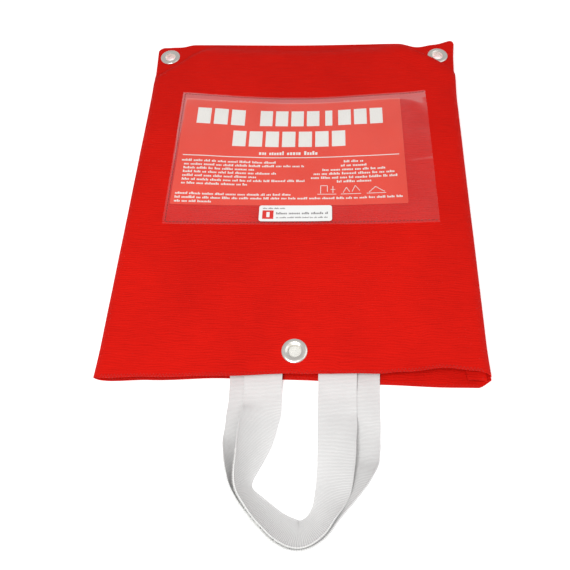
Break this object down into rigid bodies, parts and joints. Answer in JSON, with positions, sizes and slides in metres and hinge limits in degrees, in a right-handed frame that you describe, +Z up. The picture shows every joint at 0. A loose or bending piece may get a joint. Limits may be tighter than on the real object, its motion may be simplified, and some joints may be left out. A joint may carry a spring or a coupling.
{
  "type": "fire blanket",
  "caption": "Folded fire blanket in a soft red wall pouch, with hanging eyelets, a clear label pocket, and pull tapes coming out of the open mouth.",
  "frame": {"origin": "middle of the underside of the box around the whole part, on the surface that the pouch lies on", "axes": "+Z up out of the front panel; +Y towards the pouch's closed top end with the hanging eyelets; -Y is the open mouth with the pull tapes; +X to the right seen from the front"},
  "size_m": [0.3102, 0.4943, 0.0273],
  "materials": {
    "red_cotton": "woven cotton canvas, matt",
    "red_thread": "spun sewing thread",
    "nickel": "nickel plated, slightly dulled",
    "clear_film": "clear soft PVC film",
    "printed_card": "printed card, white on red",
    "sticker_paper": "coated label paper",
    "glass_cloth": "woven glass cloth, slight sheen",
    "white_webbing": "ribbed flat webbing, matt",
    "white_thread": "spun sewing thread"
  },
  "bodies": {
    "pouch": {"pouch_back_panel": "red_cotton", "pouch_front_panel": "red_cotton", "left_seam_thread": "red_thread", "right_seam_thread": "red_thread", "top_seam_thread": "red_thread", "front_mouth_thread": "red_thread", "back_mouth_thread": "red_thread", "top_left_eyelet": "nickel", "top_left_eyelet_washer": "nickel", "top_right_eyelet": "nickel", "top_right_eyelet_washer": "nickel", "front_eyelet": "nickel", "front_eyelet_washer": "nickel", "label_pocket_film": "clear_film", "pocket_stitching_left": "red_thread", "pocket_stitching_top": "red_thread", "pocket_stitching_bottom": "red_thread", "sticker": "sticker_paper"},
    "card": {"label_card": "printed_card"},
    "blanket": {"folded_blanket": "glass_cloth", "outer_tape_left_end": "white_webbing", "outer_tape_right_end": "white_webbing", "inner_tape_left_end": "white_webbing", "inner_tape_right_end": "white_webbing", "outer_tape_left_box_stitch": "white_thread", "outer_tape_right_box_stitch": "white_thread", "inner_tape_left_box_stitch": "white_thread", "inner_tape_right_box_stitch": "white_thread"},
    "outer_tape": {"outer_pull_tape": "white_webbing"},
    "inner_tape": {"inner_pull_tape": "white_webbing"}
  },
  "joints": [
    {"name": "card_slide", "type": "slide", "parent": "pouch", "child": "card", "axis": [1, 0, 0], "range_m": [0, 0.235]},
    {"name": "blanket_slide", "type": "slide", "parent": "pouch", "child": "blanket", "axis": [0, -1, 0], "range_m": [0, 0.335]},
    {"name": "outer_tape_lift", "type": "hinge", "parent": "blanket", "child": "outer_tape", "pos_m": [0, -0.13673, 0.0008], "axis": [-1, 0, 0], "range_deg": [0, 90]},
    {"name": "inner_tape_lift", "type": "hinge", "parent": "blanket", "child": "inner_tape", "pos_m": [0, -0.13673, 0.0008], "axis": [-1, 0, 0], "range_deg": [0, 90]}
  ],
  "couplings": [
    {"joint": "inner_tape_lift", "follows": "outer_tape_lift", "ratio": 1}
  ]
}
